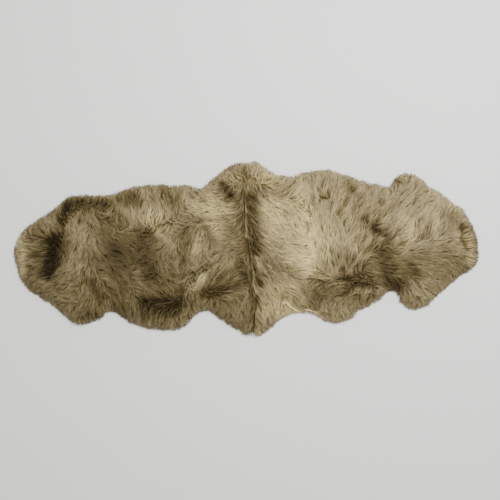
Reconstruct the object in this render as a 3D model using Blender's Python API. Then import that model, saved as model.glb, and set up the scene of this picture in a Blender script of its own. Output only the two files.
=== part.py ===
"""Double sheepskin rug: two tanned pelts sewn end to end, lying flat with the wool side up.

Each pelt is one closed solid. Its underside is the flat skin. Its top is the wool, a lumpy slab
that rises from the rim to the crown and sinks where the wool parts. Locks of wool stand apart
along the rim and lie on the floor. The rug's length runs along X and the floor is at Z = 0.
"""

import math

import bmesh
import bpy
import numpy as np
from mathutils import Vector
from mathutils.geometry import delaunay_2d_cdt

MM = 0.001

# Driving dimensions, in millimetres
WOOL_CROWN = 45.0
WOOL_AT_RIM = 10.0
WOOL_AT_SEAM = 27.0
WOOL_THINNEST = 7.0
RIM_ROLL = 62.0
SEAM_ROLL = 30.0
SEAM_GAP = 0.3
EDGE_STEP = 6.0
LOCK_PITCH = 21.0
LOCK_REACH = 19.0
LOCK_HALF_WIDTH = 8.6
LOCK_SWAY = 4.5
SURFACE_STEP = 19.0

# A lock past its root. Columns: share of its length, of its width and of the rim's height.
LOCK_SECTIONS = (
    (0.5, 0.82, 0.72),
    (1.0, 0.30, 0.24),
)
LOCK_TOP_WIDTH = 0.8

# How uneven the locks' lengths are. Columns: share of the length, radians from lock to lock.
LOCK_UNEVENNESS = (
    (0.22, 2.1),
    (0.12, 0.83),
)
LOCK_SWAY_TURN = 1.37
NOTCH_SHORTENING = 1.1

# The line that the tips of the wool reach, counter-clockwise from the top of the seam.
# Columns: place, x, y.
WOOL_EDGE = (
    ("seam top", -2, 349),
    ("left hip", -48, 337),
    ("left hip", -94, 310),
    ("left hip", -141, 279),
    ("left hip notch", -172, 249),
    ("left back", -233, 256),
    ("left back", -295, 256),
    ("left back", -372, 256),
    ("left back", -449, 249),
    ("left shoulder dip", -503, 225),
    ("left shoulder", -565, 218),
    ("left shoulder", -642, 218),
    ("left shoulder", -688, 210),
    ("left neck", -727, 179),
    ("left neck", -781, 137),
    ("left neck", -827, 110),
    ("left neck", -865, 79),
    ("left neck end", -892, 37),
    ("left neck end", -902, -6),
    ("left neck end", -896, -52),
    ("left neck end", -881, -106),
    ("left throat", -850, -152),
    ("left throat", -796, -191),
    ("left throat", -750, -222),
    ("left foreleg", -703, -260),
    ("left foreleg tip", -657, -299),
    ("left foreleg", -611, -291),
    ("left foreleg", -565, -276),
    ("left elbow notch", -530, -249),
    ("left belly", -495, -260),
    ("left belly", -449, -287),
    ("left belly", -380, -310),
    ("left belly", -295, -318),
    ("left belly", -241, -303),
    ("left belly", -210, -276),
    ("left flank notch", -179, -252),
    ("left haunch", -141, -249),
    ("left haunch", -94, -283),
    ("left haunch", -33, -318),
    ("seam foot", 29, -349),
    ("right haunch", 60, -333),
    ("right haunch", 91, -310),
    ("right haunch", 129, -279),
    ("right flank dip", 175, -256),
    ("right belly", 232, -252),
    ("right belly", 268, -264),
    ("right belly", 303, -284),
    ("right belly", 350, -289),
    ("right belly", 399, -276),
    ("right belly", 437, -241),
    ("right belly", 484, -218),
    ("right elbow", 530, -187),
    ("right elbow notch", 561, -168),
    ("right foreleg", 580, -199),
    ("right foreleg", 607, -225),
    ("right foreleg tip", 653, -237),
    ("right foreleg", 707, -218),
    ("right throat", 738, -179),
    ("right throat", 777, -148),
    ("right throat", 823, -110),
    ("right neck end", 866, -84),
    ("right neck end", 893, -50),
    ("right neck end", 900, 2),
    ("right neck end", 888, 67),
    ("right neck", 865, 110),
    ("right neck", 838, 160),
    ("right neck", 792, 191),
    ("right shoulder", 746, 225),
    ("right shoulder", 700, 256),
    ("right shoulder", 661, 291),
    ("right shoulder tip", 630, 303),
    ("right shoulder", 584, 295),
    ("right shoulder", 557, 272),
    ("right shoulder notch", 538, 256),
    ("right back", 461, 268),
    ("right back", 399, 291),
    ("right back", 345, 306),
    ("right back", 283, 314),
    ("right back dip", 214, 303),
    ("right hip", 168, 291),
    ("right hip", 121, 299),
    ("right hip", 75, 322),
    ("right hip", 44, 345),
)

# The seam between its two ends, top to foot. Columns: x, y.
SEAM_LINE = (
    (-10, 187),
    (-2, 56),
    (13, -37),
    (21, -141),
    (33, -199),
)

# Where the wool parts or stands up: a soft stroke from start by way of bend to end.
# Columns: place, start x, y, bend x, y, end x, y, half width, height.
PARTINGS = (
    ("left neck parting", -750, 71, -738, -25, -757, -110, 20, -17),
    ("left neck dimple", -800, -10, -803, -24, -800, -40, 12, -5),
    ("left cheek hollow", -703, 156, -694, 130, -696, 100, 16, -9),
    ("left back fold", -680, 146, -595, 175, -495, 168, 15, -10),
    ("left back roll", -665, 198, -584, 200, -511, 208, 14, 4),
    ("left shoulder crease", -580, 141, -534, 137, -499, 102, 12, -6),
    ("left throat swirl", -711, -52, -655, -102, -673, -198, 24, 5),
    ("left throat crease", -730, -130, -700, -165, -660, -225, 13, -6),
    ("left elbow crease", -611, -121, -585, -152, -576, -198, 12, -8),
    ("left flank hollow", -526, -25, -449, -75, -372, -121, 46, -6),
    ("left loin ridge", -353, 79, -295, 33, -249, -21, 17, 6),
    ("left loin hollow", -380, 20, -320, -30, -285, -80, 22, -5),
    ("left belly fold", -405, -196, -303, -256, -214, -208, 16, -15),
    ("left belly roll", -391, -276, -314, -296, -237, -272, 14, 5),
    ("left haunch hollow", -182, -166, -133, -183, -92, -143, 18, -15),
    ("left haunch crest", -162, -108, -94, -80, -31, -35, 17, 8),
    ("left rump smooth", -37, 187, -40, 90, -37, -6, 22, -6),
    ("left hip hollow", -96, 243, -79, 218, -54, 193, 13, -9),
    ("left back dimple", -205, 190, -168, 184, -130, 186, 12, -5),
    ("left back crease", -222, 125, -150, 105, -80, 118, 12, -4),
    ("hip hump", -71, 283, -25, 306, 24, 272, 40, 8),
    ("right seam shade", 27, 198, 30, 33, 38, -148, 16, -8),
    ("right haunch hollow", 39, -50, 47, -98, 38, -152, 18, -9),
    ("right haunch tuft", 48, -52, 62, -62, 80, -70, 12, 5),
    ("right field mound", 225, 140, 238, 25, 230, -90, 62, 4),
    ("right back dimple", 246, 189, 278, 175, 308, 163, 13, -7),
    ("right back fold", 372, 243, 395, 229, 412, 200, 12, -7),
    ("right belly crease", 262, -141, 360, -105, 466, -146, 14, -8),
    ("right belly ridge", 270, -175, 350, -170, 430, -188, 17, 5),
    ("right flank thin wool", 62, -232, 115, -242, 172, -246, 27, -14),
    ("right haunch parting", 482, 128, 495, 64, 462, 6, 17, -14),
    ("right loin ridge", 440, 60, 455, 0, 470, -60, 18, 5),
    ("right elbow band", 499, -8, 534, -75, 576, -154, 22, -13),
    ("right elbow dimple", 616, -56, 628, -72, 640, -88, 15, -8),
    ("right foreleg edge", 582, -158, 590, -190, 610, -216, 11, -6),
    ("right shoulder stripe", 563, 280, 572, 262, 583, 246, 10, -6),
    ("right neck curls", 750, 166, 792, 135, 824, 80, 17, -9),
    ("right neck crack", 819, 88, 804, 33, 840, -14, 9, -9),
    ("right neck roll", 862, 40, 866, -4, 858, -48, 16, 5),
)

# The lumps of the resting wool, as waves whose crests wander. Columns: direction of travel in
# radians, wave length, height, how far a crest wanders, length over which it wanders.
LUMP_WAVES = (
    (0.25, 137, 1.9, 40, 310),
    (1.32, 89, 1.7, 26, 230),
    (2.48, 61, 1.4, 22, 190),
    (0.84, 223, 2.2, 60, 420),
    (1.93, 47, 1.1, 15, 140),
)


def curve_through(points, closed, step):
    """Points about step apart on a smooth curve through the given ones.

    Between two of them it is the cubic whose slope at each is half the step from the point
    before to the point after, known as a Catmull-Rom curve.
    """
    points = np.asarray(points, float)
    if closed:
        before = np.roll(points, 1, axis=0)
        after = np.roll(points, -1, axis=0)
        last = np.roll(points, -2, axis=0)
    else:
        before = np.vstack([2 * points[:1] - points[1:2], points[:-2]])
        last = np.vstack([points[2:], 2 * points[-1:] - points[-2:-1]])
        after = points[1:]
        points = points[:-1]
    t = np.linspace(0, 1, 24, endpoint=False)[:, None, None]
    fine = 0.5 * (
        2 * points
        + t * (after - before)
        + t**2 * (2 * before - 5 * points + 4 * after - last)
        + t**3 * (3 * points - before - 3 * after + last)
    )
    fine = fine.transpose(1, 0, 2).reshape(-1, 2)
    fine = np.vstack([fine, fine[:1] if closed else after[-1:]])
    run = np.concatenate([[0], np.cumsum(np.linalg.norm(np.diff(fine, axis=0), axis=1))])
    count = max(round(run[-1] / step), 2)
    places = np.linspace(0, run[-1], count + 1)[: count if closed else count + 1]
    return np.stack([np.interp(places, run, fine[:, 0]), np.interp(places, run, fine[:, 1])], 1)


def outward_of(ring):
    """The unit normal at each point of a counter-clockwise ring, pointing out of it."""
    along = np.roll(ring, -1, axis=0) - np.roll(ring, 1, axis=0)
    outward = np.stack([along[:, 1], -along[:, 0]], 1)
    return outward / np.linalg.norm(outward, axis=1, keepdims=True)


def distance_to(points, line):
    """The distance from each point to the nearest place on a line of many short pieces."""
    start = line[:-1]
    along = line[1:] - start
    length = np.maximum((along**2).sum(1), 1e-9)
    offset = points[:, None] - start[None]
    share = ((offset * along).sum(2) / length).clip(0, 1)
    return np.linalg.norm(offset - share[:, :, None] * along, axis=2).min(1)


def inside(points, ring):
    """Whether each point lies inside the ring, by the crossings of a ray along +X."""
    x, y = points[:, :1], points[:, 1:]
    ax, ay = ring.T
    bx, by = np.roll(ring, -1, axis=0).T
    spans = (ay > y) != (by > y)
    rise = np.where(by == ay, 1.0, by - ay)
    crossing = ax + (y - ay) * (bx - ax) / rise
    return (spans & (x < crossing)).sum(1) % 2 == 1


def stroke(row):
    """A parting as a line of short pieces on the curve that bends towards its middle point."""
    start, bend, end = np.array(row[1:7], float).reshape(3, 2)
    t = np.linspace(0, 1, 13)[:, None]
    return (1 - t) ** 2 * start + 2 * t * (1 - t) * bend + t**2 * end


def wool_height(points, edge, seam):
    """How high the wool stands: crown, partings and lumps, rolled down to the rim and the seam.

    A parting falls off as exp(-(distance / half width)^2), and a lump is a sine wave. The roll
    is a quarter of an ellipse, from the low height at the edge up to full height.
    """
    height = np.full(len(points), WOOL_CROWN)
    for row in PARTINGS:
        half_width, rise = row[7:]
        height += rise * np.exp(-((distance_to(points, stroke(row)) / half_width) ** 2))
    for turn, length, rise, wander, wander_length in LUMP_WAVES:
        across = points @ (math.cos(turn), math.sin(turn))
        along = points @ (-math.sin(turn), math.cos(turn))
        across += wander * np.sin(2 * math.pi * along / wander_length + 5 * turn)
        height += rise * np.sin(2 * math.pi * across / length)
    height = np.maximum(height, WOOL_THINNEST + 3)
    for line, low, width in ((seam, WOOL_AT_SEAM, SEAM_ROLL), (edge, WOOL_AT_RIM, RIM_ROLL)):
        share = (distance_to(points, line) / width).clip(0, 1)
        height = low + (height - low) * np.sqrt(1 - (1 - share) ** 2)
    return np.maximum(height, WOOL_THINNEST)


def slab_edge():
    """The slab's rim, inside the reach of the locks, from the top of the seam right round.

    Returns its points, their outward normals and the number of the seam's foot.
    """
    reach = curve_through([row[1:] for row in WOOL_EDGE], True, EDGE_STEP)
    edge = curve_through(reach - outward_of(reach) * LOCK_REACH, True, LOCK_PITCH)
    foot_row = next(row for row in WOOL_EDGE if row[0] == "seam foot")
    foot = int(np.linalg.norm(edge - foot_row[1:], axis=1).argmin())
    return edge, outward_of(edge), foot


def interior_points(ring):
    """A grid of equal triangles inside the ring, clear of its points."""
    low, high = ring.min(0), ring.max(0)
    rows = np.arange(low[1], high[1], SURFACE_STEP * math.sqrt(0.75))
    columns = np.arange(low[0], high[0], SURFACE_STEP)
    grid = np.array(
        [(x + SURFACE_STEP / 2 * (i % 2), y) for i, y in enumerate(rows) for x in columns]
    )
    closed = np.vstack([ring, ring[:1]])
    return grid[inside(grid, ring) & (distance_to(grid, closed) > SURFACE_STEP * 0.55)]


def triangles_in(ring, more):
    """The triangles between the ring's points and the ones inside it."""
    points = [Vector(p) for p in np.vstack([ring, more])]
    count = len(ring)
    edges = [(i, (i + 1) % count) for i in range(count)]
    found = delaunay_2d_cdt(points, edges, [], 1, 1e-6)
    if len(found[0]) != len(points):
        raise ValueError("the rim crosses itself")
    return found[2]


def lock_at(left, right, outward, sway, reach):
    """The corners of a lock's middle and tip, as two squares of four points each.

    left and right are its root on the rim. The lock leans by sway along the rim, narrows, and
    sinks from the rim's height to its tip, and its underside lies on the floor.
    """
    middle = (left + right) / 2
    along = (right - left) / np.linalg.norm(right - left)
    corners = []
    for share, width, height in LOCK_SECTIONS:
        at = middle + outward * reach * share + along * sway * share**2
        half = along * LOCK_HALF_WIDTH * width
        low = [at - half, at + half]
        high = [at + half * LOCK_TOP_WIDTH, at - half * LOCK_TOP_WIDTH]
        top = WOOL_AT_RIM * height
        corners.append([(*p, 0) for p in low] + [(*p, top) for p in high])
    return corners


def rim_of(edge, outward):
    """The rim's points with two for each lock's root, and a row for each lock.

    Where the edge bends inwards the locks would cross, so they are shorter there.
    """
    along = np.stack([-outward[:, 1], outward[:, 0]], 1)
    middle = edge[1:-1]
    bend = (along[2:] * outward[:-2]).sum(1)
    roots = np.stack(
        [middle - along[1:-1] * LOCK_HALF_WIDTH, middle + along[1:-1] * LOCK_HALF_WIDTH], 1
    )
    number = np.arange(len(middle))
    uneven = sum(share * np.sin(number * step) for share, step in LOCK_UNEVENNESS)
    reach = LOCK_REACH * (1 + uneven) * (1 - NOTCH_SHORTENING * bend.clip(0, 0.6))
    sway = LOCK_SWAY * np.sin(number * LOCK_SWAY_TURN)
    ring = np.vstack([edge[:1], roots.reshape(-1, 2), edge[-1:]])
    return ring, list(zip(roots, outward[1:-1], sway, reach))


def pelt_mesh(edge, outward, seam, seam_side):
    """One pelt as a bmesh, in millimetres. edge runs from one end of the seam to the other."""
    outer, locks = rim_of(edge, outward)
    inner = seam[1:-1] + (seam_side * SEAM_GAP / 2, 0)
    outer[[0, -1]] += (seam_side * SEAM_GAP / 2, 0)
    ring = np.vstack([outer, inner])
    more = interior_points(ring)
    top = np.vstack([ring, more])
    height = wool_height(top, edge, seam)
    bm = bmesh.new()
    floor = [bm.verts.new((*p, 0)) for p in ring]
    wool = [bm.verts.new((*p, z)) for p, z in zip(top, height)]
    for a, b, c in triangles_in(ring, more):
        bm.faces.new((wool[a], wool[b], wool[c]))
    for a, b, c in triangles_in(ring, np.empty((0, 2))):
        bm.faces.new((floor[c], floor[b], floor[a]))
    roots = {2 * i + 1: lock for i, lock in enumerate(locks)}
    for i in range(len(ring)):
        j = (i + 1) % len(ring)
        root = [floor[i], floor[j], wool[j], wool[i]]
        if i not in roots:
            bm.faces.new(root)
            continue
        (left, right), out, sway, reach = roots[i]
        for corners in lock_at(left, right, out, sway, reach):
            section = [bm.verts.new(p) for p in corners]
            for k in range(4):
                n = (k + 1) % 4
                bm.faces.new((root[k], root[n], section[n], section[k]))
            root = section
        bm.faces.new(root)
    return bm


def fleece_material(name, colour):
    """Dyed wool: no metal, and rough all over."""
    material = bpy.data.materials.new(name)
    material.use_nodes = True
    shader = material.node_tree.nodes["Principled BSDF"]
    shader.inputs["Base Color"].default_value = (*colour, 1)
    shader.inputs["Roughness"].default_value = 0.85
    return material


def add_pelt(name, bm, shift, material):
    """Turns a bmesh in millimetres into an object in metres, moved sideways by shift."""
    bmesh.ops.translate(bm, verts=bm.verts, vec=(*shift, 0))
    bmesh.ops.scale(bm, verts=bm.verts, vec=(MM, MM, MM))
    bmesh.ops.recalc_face_normals(bm, faces=bm.faces)
    mesh = bpy.data.meshes.new(name)
    bm.to_mesh(mesh)
    bm.free()
    mesh.shade_smooth()
    mesh.set_sharp_from_angle(angle=math.radians(50))
    mesh.materials.append(material)
    bpy.context.scene.collection.objects.link(bpy.data.objects.new(name, mesh))


def main():
    for obj in list(bpy.data.objects):
        bpy.data.objects.remove(obj)
    edge, outward, foot = slab_edge()
    seam = curve_through([edge[0], *SEAM_LINE, edge[foot]], False, LOCK_PITCH)
    left = pelt_mesh(edge[: foot + 1], outward[: foot + 1], seam[::-1], -1)
    around = list(range(foot, len(edge))) + [0]
    right = pelt_mesh(edge[around], outward[around], seam, 1)
    places = np.array([v.co[:2] for bm in (left, right) for v in bm.verts])
    shift = -(places.min(0) + places.max(0)) / 2
    add_pelt("left_pelt", left, shift, fleece_material("olive dyed fleece", (0.30, 0.23, 0.13)))
    add_pelt("right_pelt", right, shift, fleece_material("sand dyed fleece", (0.42, 0.33, 0.20)))


main()
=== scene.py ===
# %% [markdown]
# # A double sheepskin rug, laid flat
# Two dyed sheep pelts are sewn together, rump to rump, and lie wool side up. On the real rug
# the skin can't be seen from above: all that shows is wool, so the wool is what this lesson is
# about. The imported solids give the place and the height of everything.

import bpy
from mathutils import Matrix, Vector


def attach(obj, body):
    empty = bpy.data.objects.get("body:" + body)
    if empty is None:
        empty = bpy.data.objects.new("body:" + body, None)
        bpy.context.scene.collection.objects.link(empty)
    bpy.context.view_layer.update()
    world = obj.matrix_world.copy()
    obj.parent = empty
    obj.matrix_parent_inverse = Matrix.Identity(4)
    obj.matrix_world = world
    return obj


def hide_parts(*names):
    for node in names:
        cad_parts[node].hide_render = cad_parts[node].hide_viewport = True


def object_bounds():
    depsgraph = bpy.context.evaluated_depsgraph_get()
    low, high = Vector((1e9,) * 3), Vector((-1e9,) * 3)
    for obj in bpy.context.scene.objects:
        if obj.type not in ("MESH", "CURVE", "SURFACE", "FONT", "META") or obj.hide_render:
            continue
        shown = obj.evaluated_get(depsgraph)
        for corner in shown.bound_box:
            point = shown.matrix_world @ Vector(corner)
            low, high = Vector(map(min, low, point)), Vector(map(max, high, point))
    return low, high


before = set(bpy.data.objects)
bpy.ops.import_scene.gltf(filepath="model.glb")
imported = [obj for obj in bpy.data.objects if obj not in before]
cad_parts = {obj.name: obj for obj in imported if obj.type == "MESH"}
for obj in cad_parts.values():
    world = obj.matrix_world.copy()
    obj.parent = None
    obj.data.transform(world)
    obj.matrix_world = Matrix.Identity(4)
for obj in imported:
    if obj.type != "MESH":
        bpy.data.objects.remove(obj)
cad_low, cad_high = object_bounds()
print("solids:", sorted(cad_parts))

# %% The modules and the units
import math

import bpy
import numpy as np
from mathutils.bvhtree import BVHTree

MM = 0.001
rng = np.random.default_rng(41)

# %% [markdown]
# ## Reading the two pelts as maps
# Wool grows from a skin, so every hair needs to know how high the wool stands where it grows,
# how far the rim is, and on which pelt it is. Maps on a fine grid answer all three at once for
# thousands of hairs, which is why the solids are read as maps first.

# %% The grid of the maps
STEP = 3 * MM
MARGIN = 45 * MM
grid_x = np.arange(cad_low.x - MARGIN, cad_high.x + MARGIN, STEP)
grid_y = np.arange(cad_low.y - MARGIN, cad_high.y + MARGIN, STEP)
map_x, map_y = np.meshgrid(grid_x, grid_y)
print("map points:", map_x.size)


# %% Heights of one solid
def top_of(node):
    """Height of the solid's top at each map point, from a ray sent straight down, or 0 beside it."""
    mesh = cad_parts[node].data
    tree = BVHTree.FromPolygons([v.co for v in mesh.vertices], [tuple(p.vertices) for p in mesh.polygons])
    down = (0, 0, -1)
    hits = [tree.ray_cast((x, y, 1), down)[0] for x, y in zip(map_x.flat, map_y.flat)]
    return np.array([hit.z if hit else 0 for hit in hits]).reshape(map_x.shape)


def blurred(values, radius):
    """The map smoothed by a round bell of that radius.
    Each wave, of wave number k, is damped by exp(-(radius k)^2 / 2)."""
    wave_x = 2 * np.pi * np.fft.fftfreq(values.shape[1], STEP)
    wave_y = 2 * np.pi * np.fft.fftfreq(values.shape[0], STEP)
    damp = np.exp(-0.5 * radius**2 * (wave_x[None, :] ** 2 + wave_y[:, None] ** 2))
    return np.fft.ifft2(np.fft.fft2(values) * damp).real


def read(values, x, y):
    """The map at points x, y, blended from the four map points round each."""
    column = np.clip((x - grid_x[0]) / STEP, 0, len(grid_x) - 1.001)
    row = np.clip((y - grid_y[0]) / STEP, 0, len(grid_y) - 1.001)
    i, j = row.astype(int), column.astype(int)
    u, v = column - j, row - i
    low = values[i, j] * (1 - u) + values[i, j + 1] * u
    high = values[i + 1, j] * (1 - u) + values[i + 1, j + 1] * u
    return low * (1 - v) + high * v


left_top, right_top = top_of("left_pelt"), top_of("right_pelt")
solid_top = np.maximum(left_top, right_top)
covered = blurred((solid_top > 0).astype(float), 12 * MM) > 0.5
print("covered area in square metres:", round(covered.sum() * STEP**2, 3))


# %% Distance to the rim, the way out and the seam
def depth_inside(mask):
    """Distance from each map point to the nearest edge point of the mask, negative outside it."""
    inner = mask.copy()
    for axis in (0, 1):
        inner &= np.roll(mask, 1, axis) & np.roll(mask, -1, axis)
    edge_x, edge_y = map_x[mask & ~inner], map_y[mask & ~inner]
    rows = [
        np.hypot(grid_x[:, None] - edge_x, y - edge_y).min(axis=1)
        for y in grid_y
    ]
    return np.where(mask, 1, -1) * np.array(rows)


depth = blurred(depth_inside(covered), 4 * MM)
out_y, out_x = (-part for part in np.gradient(blurred(depth, 14 * MM), STEP))
out_size = np.hypot(out_x, out_y) + 1e-6
out_x, out_y = out_x / out_size, out_y / out_size

both = (left_top > 0).any(axis=1) & (right_top > 0).any(axis=1)
left_end = np.where(left_top > 0, map_x, -9).max(axis=1)
right_start = np.where(right_top > 0, map_x, 9).min(axis=1)
seam_x = np.interp(grid_y, grid_y[both], (left_end + right_start)[both] / 2)
side = map_x - seam_x[:, None]
print("seam runs from y", round(grid_y[both][0], 3), "to", round(grid_y[both][-1], 3))

# %% How high the wool stands, also just past the rim
NEAR, FAR = 4 * MM, 14 * MM
present = (solid_top > 0).astype(float)
near_top = blurred(solid_top, NEAR) / np.maximum(blurred(present, NEAR), 0.02)
far_top = blurred(solid_top, FAR) / np.maximum(blurred(present, FAR), 0.02)
fall = np.exp(np.minimum(depth, 0) / (16 * MM))
wool_top = np.where(depth > 0, near_top, np.minimum(near_top, far_top) * fall)
print("wool height from", round(wool_top[covered].min(), 4), "to", round(wool_top.max(), 4))
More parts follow.
